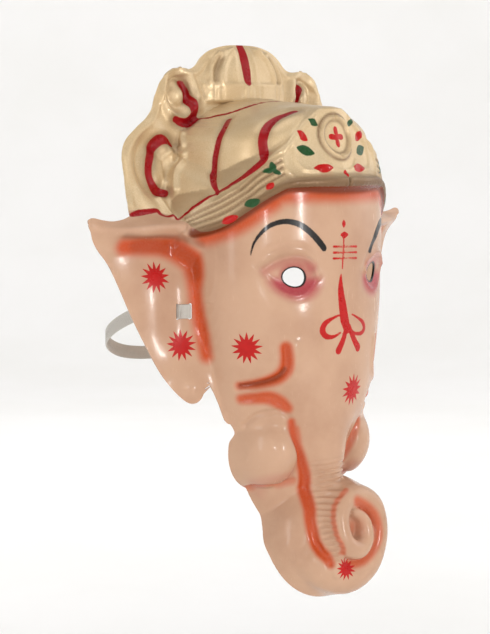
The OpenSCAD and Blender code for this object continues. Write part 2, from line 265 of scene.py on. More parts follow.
def ear(ax, z):
    y = (5 + EAR_SWEEP * (ax - EAR_ROOT) + 6 * bell(ax - 80, 16) * ease((z + 45) / 40)
         - 8 * bell(z - curve(EAR_RIDGE, ax), 7.5)
         - 5 * np.exp(-((ax - 82) / 9) ** 2 - ((z + 45) / 12) ** 2)
         + 5 * bell(z - 40, 14) * ease((130 - ax) / 35)
         + 1.6 * np.maximum(0, z - curve(EAR_RIDGE, ax) - 1))
    return np.where((z < -70) | (z > 80) | (ax < 55), NOWHERE, y)


# Rounded swellings of the trunk and the tusk sheaths, each as its centre and its radii
TUSK_SHEATH = ((34, -9, -85.5), (20, 26, 26))
TRUNK_ROOT = ((2, -14, -148), (36, 33, 42))
CURL_FILLING = ((6, -27, -137), (21, 23, 25))


def eye_hollow(ax, z):
    return 5 * np.exp(-((ax - EYE_GAP / 2) / 15) ** 2 - ((z - 24) / 10) ** 2)


def front(x, z):
    """Depth of the whole front at [x, z]: the features blend where they meet."""
    ax = np.abs(x)
    skin = near(face(ax, z), trunk(x, z), 5)
    skin = near(skin, ball(ax, z, *TUSK_SHEATH), 5)
    skin = near(skin, ball(x, z, *TRUNK_ROOT), 10)
    skin = near(skin, ball(x, z, *CURL_FILLING), 4)
    skin = near(skin, coil(x, z), 3) + eye_hollow(ax, z)
    skin = near(skin, diadem(ax, z), 2)
    hat = near(dome(ax, z), crown_border(ax, z), 4)
    hat = near(near(hat, collar(ax, z), 2), knob(ax, z), 3)
    return near(near(skin, hat, 2), ear(ax, z), 5)


# ---------------------------------------------------------------- where the sheet is trimmed
EYE_GAP = 72
EYE_HOLE = (7.0, 5.75)     # half its length and half its height
EYE_TILT = math.radians(20)
EYE_Z = 25
SLIT_Z = 3
SLIT_X = (76.8, 83.8)
SLIT_HALF = (1.1, 5.2)
CROWN_LINE = [[112, 58], [111, 70], [109, 85], [108, 100], [104, 110], [95, 118.5], [86, 124.5],
              [80, 130], [76.5, 139], [72, 148], [64, 154], [55, 156], [47, 155.5], [41, 158],
              [35.5, 163.5], [27, 168.5], [14, 171.5], [0, 172]]
EAR_LINE = [[66, 61], [80, 64], [95, 66], [108, 64.5], [117, 61.5], [126, 60.3], [134, 61.3],
            [140, 62.6], [143.8, 61.5], [143.6, 57.5], [140.5, 52], [134, 42.5], [126, 30],
            [114.5, 1], [104, -22], [96, -38], [88.5, -49.5], [81.5, -54.5], [75, -51.5],
            [70, -38], [62, -26], [50, 0], [50, 60]]
RIM_LINE = [[-190, -42], [-184, -31], [-161, -18], [-138, -9], [-113, 0], [-82, 0],
            [-75, -3.5], [-66, -1.3], [-58, 0], [-40, 3], [-20, 6], [80, 6]]


def outline_depth(x, z, line):
    """How far inside a closed outline a place is, less than nothing outside."""
    nearest = np.full(x.shape, 1e9)
    inside = np.zeros(x.shape, bool)
    for (x1, z1), (x2, z2) in zip(line, np.roll(line, -1, axis=0)):
        ex, ez, wx, wz = x2 - x1, z2 - z1, x - x1, z - z1
        t = np.clip((wx * ex + wz * ez) / (ex * ex + ez * ez + 1e-12), 0, 1)
        nearest = np.minimum(nearest, np.hypot(wx - ex * t, wz - ez * t))
        crosses = (z1 > z) != (z2 > z)
        inside ^= crosses & (x < (x2 - x1) * (z - z1) / (z2 - z1 + 1e-12) + x1)
    return np.where(inside, nearest, -nearest)


def eye_depth(ax, z):
    """How far outside the eye hole a place is."""
    u, v = ax - EYE_GAP / 2, z - EYE_Z
    c, s = math.cos(EYE_TILT), math.sin(EYE_TILT)
    d = np.hypot((u * c + v * s) / EYE_HOLE[0], (v * c - u * s) / EYE_HOLE[1])
    return (d - 1) * EYE_HOLE[1]


def kept(p):
    """Positive where the sheet stays, about the distance to its nearest trimmed edge."""
    ax, y, z = np.abs(p[:, 0]), p[:, 1], p[:, 2]
    crown = outline_depth(ax, z, np.vstack([smooth(CROWN_LINE), [[0, 40], [90, 40]]]))
    ears = outline_depth(ax, z, smooth(EAR_LINE))
    core = np.where(z > 75, -50, (curve(RIM_LINE, z) - y) * 0.5)
    keep = np.minimum(np.maximum(np.maximum(crown, ears), core), eye_depth(ax, z))
    for x in SLIT_X:
        keep = np.minimum(keep, np.maximum(np.abs(ax - x) - SLIT_HALF[0],
                                           np.abs(z - SLIT_Z) - SLIT_HALF[1]))
    return keep


# ---------------------------------------------------------------- from the form to a mesh
GRID = 1.1                 # spacing of the cells that the surface passes through
FINE_GRID = 0.7            # their height over the ringed end of the trunk
FINE_BELOW = -90
SPAN_X = (-150, 150.1)     # the block of space that is searched for the surface
SPAN_Y = (-84, 62)
SPAN_Z = (-194, 177)
WALL = 1.2                 # thickness of the sheet
CORNERS = [(i, j, k) for i in (0, 1) for j in (0, 1) for k in (0, 1)]
EDGES = [(a, b) for a in CORNERS for b in CORNERS
         if sum(b) - sum(a) == 1 and all(m <= n for m, n in zip(a, b))]


def surface_net():
    """Vertices and quads of the front surface: one vertex in each cell that it passes."""
    xs = np.arange(*SPAN_X, GRID)
    ys = np.arange(*SPAN_Y, GRID)
    zs = np.concatenate([np.arange(SPAN_Z[0], FINE_BELOW, FINE_GRID),
                         np.arange(FINE_BELOW, SPAN_Z[1], GRID)])
    depth = np.clip(front(*np.meshgrid(xs, zs, indexing="ij")), -90, 60)
    before = ys[None, :, None] < depth[:, None, :]
    some, every = before, before
    for axis in range(3):
        low = [slice(None)] * 3
        high = [slice(None)] * 3
        low[axis], high[axis] = slice(0, -1), slice(1, None)
        some = some[tuple(low)] | some[tuple(high)]
        every = every[tuple(low)] & every[tuple(high)]
    cells = np.argwhere(some & ~every)
    number = np.full(some.shape, -1, np.int32)
    number[tuple(cells.T)] = np.arange(len(cells))

    def gap(corner):
        i, j, k = (cells + corner).T
        return ys[j] - depth[i, k]

    gaps = {c: gap(c) for c in CORNERS}
    total = np.zeros((len(cells), 3))
    count = np.zeros(len(cells))
    for a, b in EDGES:
        crossed = (gaps[a] < 0) != (gaps[b] < 0)
        t = np.where(crossed, gaps[a] / np.where(crossed, gaps[a] - gaps[b], 1), 0)
        place = np.array(a) + t[:, None] * (np.array(b) - np.array(a))
        total += np.where(crossed[:, None], place, 0)
        count += crossed
    where = cells + total / count[:, None]
    verts = np.stack([np.interp(where[:, k], np.arange(len(line)), line)
                      for k, line in enumerate((xs, ys, zs))], 1)

    faces = []
    for axis, (b, c) in enumerate([(1, 2), (2, 0), (0, 1)]):
        low = [slice(1, -1)] * 3
        high = [slice(1, -1)] * 3
        low[axis], high[axis] = slice(0, -1), slice(1, None)
        here, there = before[tuple(low)], before[tuple(high)]
        change = np.argwhere(here != there)
        flip = here[tuple(change.T)]
        base = change + 1
        base[:, axis] = change[:, axis]
        quad = []
        for db, dc in [(-1, -1), (0, -1), (0, 0), (-1, 0)]:
            cell = base.copy()
            cell[:, b] += db
            cell[:, c] += dc
            quad.append(number[tuple(cell.T)])
        quad = np.stack(quad, 1)
        quad[flip] = quad[flip][:, ::-1]
        faces.append(quad)
    return verts, np.vstack(faces)


def compact(verts, faces):
    used = np.unique(faces)
    number = np.full(len(verts), -1)
    number[used] = np.arange(len(used))
    return verts[used], number[faces]


def vertex_normals(verts, faces):
    p = verts[faces]
    n = np.cross(p[:, 2] - p[:, 0], p[:, 3] - p[:, 1])
    out = np.zeros_like(verts)
    for corner in range(4):
        for axis in range(3):
            out[:, axis] += np.bincount(faces[:, corner], n[:, axis], len(verts))
    return out / np.maximum(np.linalg.norm(out, axis=1), 1e-9)[:, None]


def relax(values, faces, rounds, amount=0.5):
    """Each vertex moves part of the way to the middle of its neighbours."""
    a = np.concatenate([faces[:, k] for k in range(4)])
    b = np.concatenate([faces[:, (k + 1) % 4] for k in range(4)])
    ends, others = np.concatenate([a, b]), np.concatenate([b, a])
    count = np.maximum(np.bincount(ends, minlength=len(values)), 1)
    for _ in range(rounds):
        middle = np.stack([np.bincount(ends, values[others, k], len(values)) / count
                           for k in range(values.shape[1])], 1)
        values = values + (middle - values) * amount
    return values


def slope(function, p, step=0.2):
    out = np.zeros_like(p)
    for axis in range(3):
        move = np.zeros(3)
        move[axis] = step
        out[:, axis] = (function(p + move) - function(p - move)) / (2 * step)
    return out


def off_surface(p):
    return p[:, 1] - front(p[:, 0], p[:, 2])


def trim(verts, faces):
    """Keep the faces inside the trimmed edges and draw the outermost vertices on to them."""
    keep = kept(verts)
    faces = faces[(keep[faces] > 0).any(1)]
    verts, faces = compact(verts, faces)
    rim = np.flatnonzero(kept(verts) < 0)
    p = verts[rim]
    for _ in range(5):
        n = slope(off_surface, p)
        n /= np.linalg.norm(n, axis=1)[:, None]
        g = slope(kept, p)
        g -= n * (g * n).sum(1)[:, None]
        size = np.maximum((g * g).sum(1), 0.04)
        move = -g * (kept(p) / size)[:, None]
        length = np.linalg.norm(move, axis=1)
        p = p + move * np.minimum(1, 1.5 / np.maximum(length, 1e-9))[:, None]
    verts[rim] = p
    return verts, faces


# ---------------------------------------------------------------- lines drawn on the form
def lifted(route, steps=5):
    """A smooth line through [x, z] or, where the form is steep, [x, y, z] points, laid on it."""
    line = smooth(route, steps) if len(route) > 2 else np.array(route, float)
    if line.shape[1] == 2:
        y = np.minimum(front(line[:, 0], line[:, 1]), 60)
        return np.stack([line[:, 0], y, line[:, 1]], 1)
    for _ in range(6):
        n = slope(off_surface, line)
        line = line - n * (off_surface(line) / (n * n).sum(1))[:, None]
    return line


def stroke(p, route, width, steps=5):
    """How far inside a brush stroke each point is; width is one number or one for each point."""
    line = lifted(route, steps)
    widths = np.full(len(route), width, float) if np.isscalar(width) else np.array(width, float)
    half = np.interp(np.linspace(0, 1, len(line)), np.linspace(0, 1, len(route)), widths) / 2
    reach = 12 + half.max()
    close = ((p > line.min(0) - reach) & (p < line.max(0) + reach)).all(1)
    q = p[close]
    best = np.full(len(q), -20.0)
    for a, b, ha, hb in zip(line[:-1], line[1:], half[:-1], half[1:]):
        e = b - a
        t = np.clip((q - a) @ e / max(e @ e, 1e-9), 0, 1)
        d = np.linalg.norm(q - a - t[:, None] * e, axis=1)
        best = np.maximum(best, ha + (hb - ha) * t - d)
    out = np.full(len(p), -20.0)
    out[close] = best
    return out


def ridge(p, route, width, height, steps=5):
    """Height of a rounded ridge along a line, or of a groove if the height is negative."""
    return height * bell(np.minimum(stroke(p, route, 0, steps), 0), width / 2)


def soft(p, route, width, fade, strength, steps=5):
    """Soft colour along a line, for the airbrushed paint and for painted shade: full over its
    width, fading out beyond it.
    """
    return strength * ease(1 + stroke(p, route, width, steps) / fade)


def mirrored(p):
    return np.column_stack([np.abs(p[:, 0]), p[:, 1], p[:, 2]])


# ---------------------------------------------------------------- fine relief
MEDAL = (0, 112)
MEDAL_RING = 12.4
RING_PITCH = 3.7
RING_END = [[-152, -5], [-145.5, -7], [-139.5, -9.5], [-130.5, -10], [-122.5, -8], [-116.5, -3],
            [-111, 3], [-105, 16], [-100, 30]]
COIL_MIDDLE = (6, -137)
COLLAR_MARKS = (3, 8, 25, 30)
UPPER_LID = [[22, 26], [26, 34], [37, 38], [47.5, 36], [55, 30]]
LOWER_LID = [[22, 25], [27, 17], [36, 13.5], [46, 17], [55, 28]]
CHEEK_FOLD = [[42, -19], [41, -26.5], [41.5, -32.5], [45, -37.5], [52, -41], [60, -43.5]]
TUSK_LIP = [[58, -14, -52], [54, -21.5, -51], [48, -28.5, -50.5], [41.5, -32.5, -54],
            [37, -34.5, -58]]
SHEATH_TOP = [[53, -12, -69], [51, -19.5, -63], [46, -26.5, -60], [40, -31.5, -60],
              [35, -33.5, -63]]
SHEATH_LOW = [[39, -1, -112], [41, -10, -110], [37, -19, -108.5], [27, -21, -110],
              [20.5, -24.5, -112]]
TRUNK_CREASE = [[-33, -67], [-28.5, -79], [-19.5, -94], [-15, -108], [-16.5, -121.5],
                [-19, -131], [-19, -142], [-16.5, -150.5], [-13.5, -158]]
TRUNK_CREASE_FAR = [[29, -72], [23, -88], [17, -104]]
PIPING = [[57, 39, 118], [61, 36, 110], [62.6, 32, 101], [69.5, 30, 94], [73, 29, 87],
          [76, 26, 79], [82, 16, 72], [83.5, 12, 67]]
STRIPE_A = [[44, 11, 124], [55, 5, 116], [60.7, 5, 106], [62, 6, 97], [63.7, 5, 89], [70, -2, 83],
            [72.5, -7, 77.5]]
STRIPE_B = [[18, -23, 129], [27, -23, 127], [34, -22, 124.5], [41, -22, 120.5], [46, -23, 116],
            [49, -24, 109], [49, -25, 102.5], [53.5, -28, 98], [60.5, -22, 90], [68, -12, 82],
            [72.5, -6, 78]]
LOWER_SCROLL = [[66, 38, 107], [72, 38, 110], [78, 39, 109.5], [84, 39, 102], [88.5, 37, 94],
                [89, 36, 86], [85, 35, 79], [80, 34, 76.5]]
LOWER_CURL = [[71, 36, 103.5], [76, 39, 98], [78, 38, 90], [76, 36.5, 84]]
UPPER_SCROLL = [[54, 44, 145], [51, 44, 137.5], [47.8, 39, 132.5], [48.2, 38.5, 125.5],
                [55, 39, 121], [63, 39, 123]]
COLLAR_LINE = [[0, 10, 135.5], [8, 10.2, 135], [24, 11.6, 132.2], [36.7, 18.2, 127.4],
               [41, 27, 125.7], [47, 33, 123]]
BASE_LINE = [[72.5, -6, 78], [76, -0.5, 73], [79, 5, 69], [83, 9, 66.5], [90, 12, 66.5],
             [98.5, 14, 67], [106, 17, 69], [112, 18, 68]]


def band_line(share, start, end, count=7):
    """A line along the diadem's wing at a share of the way from its low to its top edge."""
    x = np.linspace(start, end, count)
    return [[a, float(curve(BAND_LOW, a) * (1 - share) + curve(BAND_TOP, a) * share)] for a in x]


def petal_angle(p, centre):
    u, w = p[:, 0] - centre[0], p[:, 2] - centre[1]
    return np.hypot(u, w), np.arctan2(u, w)


def relief(p):
    """How far each point is raised along the surface's own direction."""
    m = mirrored(p)
    ax, z = m[:, 0], p[:, 2]
    h = np.zeros(len(p))
    # eyelids
    h += ridge(m, UPPER_LID, 3.4, 1.5) + ridge(m, LOWER_LID, 3.2, 0.8)
    h -= ridge(m, [[23, 31], [30, 41], [40, 43.5], [50, 41.5], [58, 34]], 5, 0.8)
    # cheek fold, tusk sheath mouths and the creases beside the trunk
    h -= ridge(m, CHEEK_FOLD, 5, 2.4)
    h += ridge(m, [[37, -18], [36.5, -27], [38, -36], [44, -43], [53, -47]], 7, 1.3)
    h -= ridge(m, TUSK_LIP, 5, 1.6) + ridge(m, SHEATH_TOP, 3.6, 1.8)
    h -= ridge(m, SHEATH_LOW, 5, 1.4)
    h -= ridge(p, TRUNK_CREASE, 5, 1.8) + ridge(p, TRUNK_CREASE_FAR, 4.5, 2.0)
    # groove under the rolled top of the ear
    h -= ridge(m, [[122, 48.5], [108, 47.5], [94, 47.5], [82, 46]], 7, 1.5)
    # rings across the trunk
    aside = p[:, 0] - curve(TRUNK_LINE, z)
    across = ease((curve(TRUNK_HALF, z) - np.abs(aside)) / 3.5)
    rings = 0.5 + 0.5 * np.cos((z - 0.06 * aside + 0.004 * aside ** 2) * 2 * math.pi / RING_PITCH)
    before_curl = ease((curve(RING_END, z) - p[:, 0]) / 3)
    ringed = across * before_curl * ease((-90 - z) / 10) * ease((z + 160) / 6)
    h -= 1.3 * rings * ringed * (p[:, 1] < -26)
    # diadem: rolled edges, medallion, flutes and arcs
    h += ridge(m, band_line(0.05, 0, 83, 14), 6.5, 2.6)
    h -= ridge(m, band_line(0.17, 0, 83, 14), 4.0, 0.8)
    h += ridge(m, band_line(0.93, 16, 80, 10), 3.4, 1.2)
    far, _ = petal_angle(p, MEDAL)
    h += 2.4 * bell(far - MEDAL_RING, 1.5) * (z > 90) * (p[:, 1] < -20)
    for share in (0.24, 0.42, 0.60, 0.77):
        h += ridge(m, band_line(share, 44, 82), 2.6, 1.3)
    h += ridge(m, [[20, 91], [30, 92], [34, 99], [33, 107], [27, 113]], 2.6, 1.1)
    h += ridge(m, [[38, 88], [42, 94], [41, 102], [36, 108]], 2.4, 1.1)
    h += ridge(m, [[15, 97], [9, 92], [0, 91]], 2.2, 0.9)
    # dome: stripes lie in shallow valleys between full panels
    h -= ridge(m, STRIPE_A, 7, 1.4) + ridge(m, STRIPE_B, 8, 1.6)
    h += ridge(m, PIPING, 4.4, 2.0) - ridge(m, COLLAR_LINE, 4, 0.8)
    # scrolls
    h -= ridge(m, LOWER_SCROLL, 8, 2.0) + ridge(m, UPPER_SCROLL, 6, 1.8)
    h += ridge(m, [[47, 44, 147], [44.5, 43, 138], [42, 41, 130]], 6, 1.4)
    h += ridge(m, LOWER_CURL, 4, 1.4) - ridge(m, [[66, 35, 96], [70, 36, 91], [72, 34, 85]], 4, 1.2)
    # collar with rolled edges and a few divisions, and the leaf folds beside the knob
    on_collar = (ax < 37) & (p[:, 1] > 20)
    h += 0.9 * (bell(z - 146, 1.8) + bell(z - 135.5, 1.8)) * on_collar
    for x in COLLAR_MARKS:
        h -= 0.7 * bell(ax - x, 1.0) * bell(z - COLLAR_Z, 5) * on_collar
    h += ridge(m, [[32, 148], [31, 155], [27, 161.5], [21, 165.5]], 4.5, 2.2)
    h += ridge(m, [[24, 149], [22.5, 156], [18, 163], [12, 167.5]], 4.5, 2.1)
    h -= ridge(m, [[28, 149], [26.5, 156], [22, 162.5]], 3.5, 1.4)
    h += ridge(p, [[4.5, 149], [4.5, 158], [3, 169]], 3.5, 0.7)
    h += ridge(p, [[-12.5, 149], [-13, 158], [-10, 168]], 3.5, 0.7)
    # rolled rim round the crown
    h += ridge(m, [[a - 3, b - (3 if b > 100 else 0)] for a, b in CROWN_LINE[1:-1]], 3.4, 1.0, 3)
    return h


# ---------------------------------------------------------------- paint
FAR = 20.0                 # signed distance that stands for "nowhere near this colour"


def leaf(p, x, z, long, wide, lean):
    """A pointed leaf at [x, z], its long axis leaning from the vertical by an angle."""
    c, s = math.cos(math.radians(lean)), math.sin(math.radians(lean))
    u, v = p[:, 0] - x, p[:, 2] - z
    a, b = (v * c + u * s) / (long / 2), (u * c - v * s) / (wide / 2)
    return (1 - np.abs(b) - a * a) * wide / 2


def most(fields):
    out = fields[0]
    for field in fields[1:]:
        out = np.maximum(out, field)
    return out


GOLD_EDGE = [[0, 81.5], [42, 81], [52, 75.5], [61, 67.5], [70, 58.5], [78, 54], [84, 60],
             [90, 65], [98, 66], [105, 66.5], [112, 66.5]]


def gold_paint(p, m):
    return m[:, 2] - curve(GOLD_EDGE, m[:, 0])


def crimson_paint(p, m):
    return most([
        stroke(m, STRIPE_A, [3.6, 4.4, 4.6, 4.6, 4.6, 4.0, 3.0]),
        stroke(m, STRIPE_B, [3.2, 4.2, 5.4, 6.2, 6.4, 6.2, 6.2, 5.8, 4.6, 3.6, 2.6]),
        stroke(m, LOWER_SCROLL, [2.2, 5.6, 7.6, 6.6, 5.4, 5.2, 6.6, 7.0]),
        stroke(m, UPPER_SCROLL, [7.4, 6.6, 7.0, 7.4, 6.8, 5.0]),
        stroke(m, COLLAR_LINE, [4.0, 4.0, 4.0, 3.8, 3.4, 2.6]),
        stroke(m, BASE_LINE, [2.6, 2.4, 2.2, 2.2, 2.4, 3.0, 5.0, 2.6]),
        stroke(p, [[-3, 171], [-4, 163], [-4, 155], [-3.6, 148]], [6.0, 7.6, 7.4, 6.0]),
    ])


def red_paint(p, m):
    behind = np.where(p[:, 1] < 0, 0, FAR)
    far, turn = petal_angle(p, MEDAL)
    rosette = 1.8 + 5.0 * np.abs(np.cos(turn * 2)) ** 1.3 - far
    bars = [stroke(p, [[-11, z + 0.3], [10.6, z - 0.3]], 1.6) for z in (43.1, 39.4, 35.7)]
    return most(bars + [
        rosette - behind,
        leaf(p, -1.5, 50.6, 4.2, 7.6, 0) - behind,
        leaf(p, -2, 57.5, 5.5, 3.4, 0) - behind,
        stroke(p, [[-2.2, 48], [-2.6, 38], [-3.4, 29.5]], 1.3),
        stroke(p, [[-4.5, 26.2], [-4.6, 16], [-2.8, 6], [-0.8, -3], [2.0, -9.5]],
               [0.8, 5.0, 6.8, 7.8, 5.6]),
        stroke(p, [[1.2, -7], [-1.2, -15], [-5.4, -22.5]], [3.2, 4.2, 5.2]),
        stroke(p, [[3.2, -7], [8, -15], [14, -22]], [3.2, 4.2, 5.6]),
        stroke(p, [[-4, 0.5], [-11, -1.6], [-17, -4.6], [-19, -9], [-16, -12.8], [-10, -13.4],
                   [-4, -11]], [1.0, 2.0, 3.8, 4.6, 3.8, 2.2, 1.2]),
        stroke(p, [[6, 0], [13, -3], [18.6, -6.2], [20.6, -10.2], [17, -13], [10, -12.6],
                   [7, -10.6]], [1.0, 1.8, 3.2, 3.6, 2.8, 2.0, 1.2]),
        leaf(m, 26, 112.5, 10, 5.5, 50), leaf(m, 16.5, 92.5, 15, 5.2, 92),
        leaf(m, 52, 81.5, 6, 3.4, -40), leaf(m, 69, 61.5, 8, 3.8, -50),
        leaf(p, 0, 89, 5.5, 3.6, 0) - behind,
    ])


def green_paint(p, m):
    return most([
        leaf(m, 25.5, 103.5, 13, 6.4, 72), leaf(m, 17, 121, 8, 4.4, 60),
        leaf(m, 49, 93.5, 6.5, 3.6, 10), leaf(m, 51.5, 91, 6.5, 3.4, -75),
        leaf(m, 47.5, 90, 5, 3.2, 60), leaf(m, 60.5, 71.5, 8, 4.6, -55),
    ])


def black_brows_and_eye_shade(p, m):
    return most([
        stroke(p, [[-61, 38.6], [-59.4, 46.8], [-55.3, 54.1], [-50.2, 58.3], [-42.9, 59.8],
                   [-34.9, 57.6], [-27.3, 52], [-20.8, 45.4], [-18.4, 42.6]],
               [0.6, 1.6, 2.4, 3.0, 3.4, 3.8, 4.2, 4.4, 4.0]),
        stroke(p, [[62, 40], [61, 47], [57.5, 53.5], [51.5, 57], [44, 55], [36.5, 49],
                   [32, 44], [28.5, 39.8]],
               [0.6, 2.0, 3.6, 5.2, 6.0, 5.8, 5.2, 4.4]),
        # painted shade: a dark ring along the rim of each eye hole, on the front
        0.9 - np.abs(eye_depth(m[:, 0], m[:, 2])) - np.where(p[:, 1] < 0, 0, FAR),
    ])


def orange_haze(p, m):
    return most([
        soft(m, [[0, 77.5], [42, 77], [51, 71.5], [60, 63.5], [69, 55], [76, 50]], 3, 9, 0.95),
        soft(m, [[118, 28, 44.5], [106.5, 25, 44.5], [93, 22, 43.5], [81.5, 17.5, 40.5],
                 [75, 12.5, 35], [73.8, 10.5, 26.5], [73.7, 10.5, 15.5], [72.2, 9.5, 1.5],
                 [70.5, 7.5, -11.5], [69.5, 5.5, -25]],
             [3, 3.5, 4, 8, 9, 6, 2, 2.5, 3, 1], 7.5, 1.0),
        soft(m, CHEEK_FOLD, [3.5, 4.5, 5, 4, 2, 0.5], 4.5, 0.95),
        soft(m, TUSK_LIP, [2, 3.5, 5, 4.5, 2], 4.5, 0.9),
        soft(p, TRUNK_CREASE, [0.5, 2, 3.5, 4.5, 4.5, 3.5, 3.5, 4, 1.5], 4.2, 0.95),
        soft(m, [[30, -72], [24, -86], [17, -104]], 2.0, 4.0, 0.7),
        soft(p, [[7, -54, -119.5], [16.5, -53, -125.5], [22, -54, -131], [24.5, -56, -138.5],
                 [24, -57, -146], [19, -56.5, -153], [11, -55.5, -158], [2, -53.5, -160]],
             [1.5, 3.5, 3.5, 2, 1, 1.5, 2, 1.5], 4.8, 0.8),
        soft(p, [[1, -112], [-5.6, -116.5], [-10, -122.5], [-12, -130.5], [-11.3, -139.5],
                 [-9, -145.5], [-6.5, -151.5]], 1.2, 2.6, 0.65),
        0.5 * bell(np.hypot(p[:, 0] - COIL_MIDDLE[0], p[:, 2] - COIL_MIDDLE[1]), 6),
        soft(m, SHEATH_LOW, 1.5, 4, 0.5),
    ])


# Painted shade: dark brown just under the diadem's lower edge, in the lower cheek fold, under the
# ear's rolled top and along the groove beside the ear.
def painted_shade_haze(p, m):
    return most([
        soft(m, band_line(-0.06, 0, 80, 12), 3.6, 3.2, 1.0),
        soft(m, CHEEK_FOLD[2:], [0.5, 1.2, 1.2, 0.4], 2.0, 0.75),
        soft(m, [[120, 50.5], [108, 49.5], [94, 50], [82, 48.5], [75.5, 45]], 1.5, 4, 0.4),
        soft(m, [[110, 26, 44.5], [95, 22, 44], [82, 17.5, 41], [75, 12.5, 35],
                 [73.8, 10.5, 26.5]], 3, 6, 0.3),
    ])


def pink_haze(p, m):
    ax, z = m[:, 0], m[:, 2]
    d = np.maximum(eye_depth(ax, z), 0)
    below = 0.95 * ease((29 - z) / 8) * ease((12 - d) / 8)
    inside = 0.6 * ease((34 - ax) / 9) * ease((8 - d) / 7)
    around = 0.6 * ease((4.5 - d) / 4)
    lid = soft(m, [[25, 31], [36, 35.5], [47, 33], [54, 29]], 1.0, 5, 0.4)
    on_face = np.where(p[:, 1] < 0, 1.0, 0.0)
    blush = soft(m, [[41, -5, -104], [38, -20, -101], [29, -27, -103]], 4, 8, 0.22)
    return most([below, inside, around]) * on_face * (d < 14) + lid * (1 - around) + blush


def painted_gold_shade(p, m):
    """Painted shade on the sprayed gold: darker, redder gold under the diadem's lower edge, over
    its wings, beside the medallion's ring and in the grooves of the flutes, scrolls, stripes and
    knob folds.
    """
    low, top = curve(BAND_LOW, m[:, 0]), curve(BAND_TOP, m[:, 0])
    on_band = (m[:, 0] < 84) * (m[:, 2] < top + 2)
    wing = ease((m[:, 0] - 36) / 16) * on_band
    far, _ = petal_angle(p, MEDAL)
    on_front = (m[:, 1] < -20) * (m[:, 2] > 90)
    medal = 0.9 * bell(far - MEDAL_RING - 2.2, 0.9) + 0.6 * bell(far - MEDAL_RING + 2.2, 0.9)
    return most([
        bell(np.maximum(m[:, 2] - low, 0), 6) * on_band,
        0.35 * wing,
        on_front * medal,
        *[soft(m, band_line(share, 44, 82), 0.8, 1.6, 0.8) for share in (0.33, 0.51, 0.69)],
        soft(m, LOWER_SCROLL, 6, 5, 0.5), soft(m, UPPER_SCROLL, 6, 5, 0.5),
        soft(m, STRIPE_A, 4, 4, 0.3), soft(m, STRIPE_B, 6, 4, 0.3),
        soft(m, [[28, 149], [26.5, 156], [22, 162.5]], 1, 3, 0.5),
    ])


PAINTS = {"gold": gold_paint, "crimson": crimson_paint, "red": red_paint, "green": green_paint,
          "black": black_brows_and_eye_shade, "orange": orange_haze, "painted_shade": painted_shade_haze, "pink": pink_haze,
          "painted_gold_shade": painted_gold_shade}


# ---------------------------------------------------------------- meshes
def make_object(name, verts, faces, material=None):
    mesh = bpy.data.meshes.new(name)
    mesh.from_pydata((np.asarray(verts) * MM).tolist(), [], np.asarray(faces).tolist())
    mesh.polygons.foreach_set("use_smooth", [True] * len(mesh.polygons))
    obj = bpy.data.objects.new(name, mesh)
    bpy.context.scene.collection.objects.link(obj)
    if material:
        mesh.materials.append(material)
    return obj


def add_field(obj, name, values):
    obj.data.attributes.new(name, "FLOAT", "POINT").data.foreach_set(
        "value", np.asarray(values, np.float32))


def open_edges(faces):
    """Directed edges that only one face uses, as the faces run."""
    a = faces.reshape(-1)
    b = np.roll(faces, -1, axis=1).reshape(-1)
    size = int(faces.max()) + 1
    ahead, behind = a.astype(np.int64) * size + b, b.astype(np.int64) * size + a
    alone = ~np.isin(ahead, behind)
    return a[alone], b[alone]


def make_shell():
    verts, faces = surface_net()
    verts = relax(verts, faces, 2)
    verts, faces = trim(verts, faces)
    normals = vertex_normals(verts, faces)
    if normals[:, 1].mean() > 0:
        faces = faces[:, ::-1]
        normals = -normals
    flat = verts.copy()
    height = relief(flat) * ease(kept(flat) / 1.5)
    outer = flat + normals * height[:, None]
    inward = -relax(vertex_normals(outer, faces), faces, 3)
    inward /= np.linalg.norm(inward, axis=1)[:, None]
    inner = outer + inward * WALL

    a, b = open_edges(faces)
    edge = np.unique(np.concatenate([a, b]))
    place = np.full(len(outer), -1)
    place[edge] = np.arange(len(edge)) + len(outer)
    wall = np.stack([b, a, place[a], place[b]], 1)
    skin = make_object("mask_skin", np.vstack([outer, inner[edge]]), np.vstack([faces, wall]),
                       painted_shell())
    m = mirrored(flat)
    for name, paint in PAINTS.items():
        values = paint(flat, m)
        add_field(skin, name, np.concatenate([values, values[edge]]))
    lining = make_object("mask_inside", inner, faces[:, ::-1], bare_shell())
    for obj in (skin, lining):
        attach(obj, "mask")
        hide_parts("mask_shell")
    skin.data.set_sharp_from_angle(angle=math.radians(50))


# ---------------------------------------------------------------- node helper
def tint(code):
    """Scene colour of an sRGB hex code."""
    out = []
    for k in (0, 2, 4):
        c = int(code[k:k + 2], 16) / 255
        out.append(c / 12.92 if c <= 0.04045 else ((c + 0.055) / 1.055) ** 2.4)
    return (*out, 1.0)


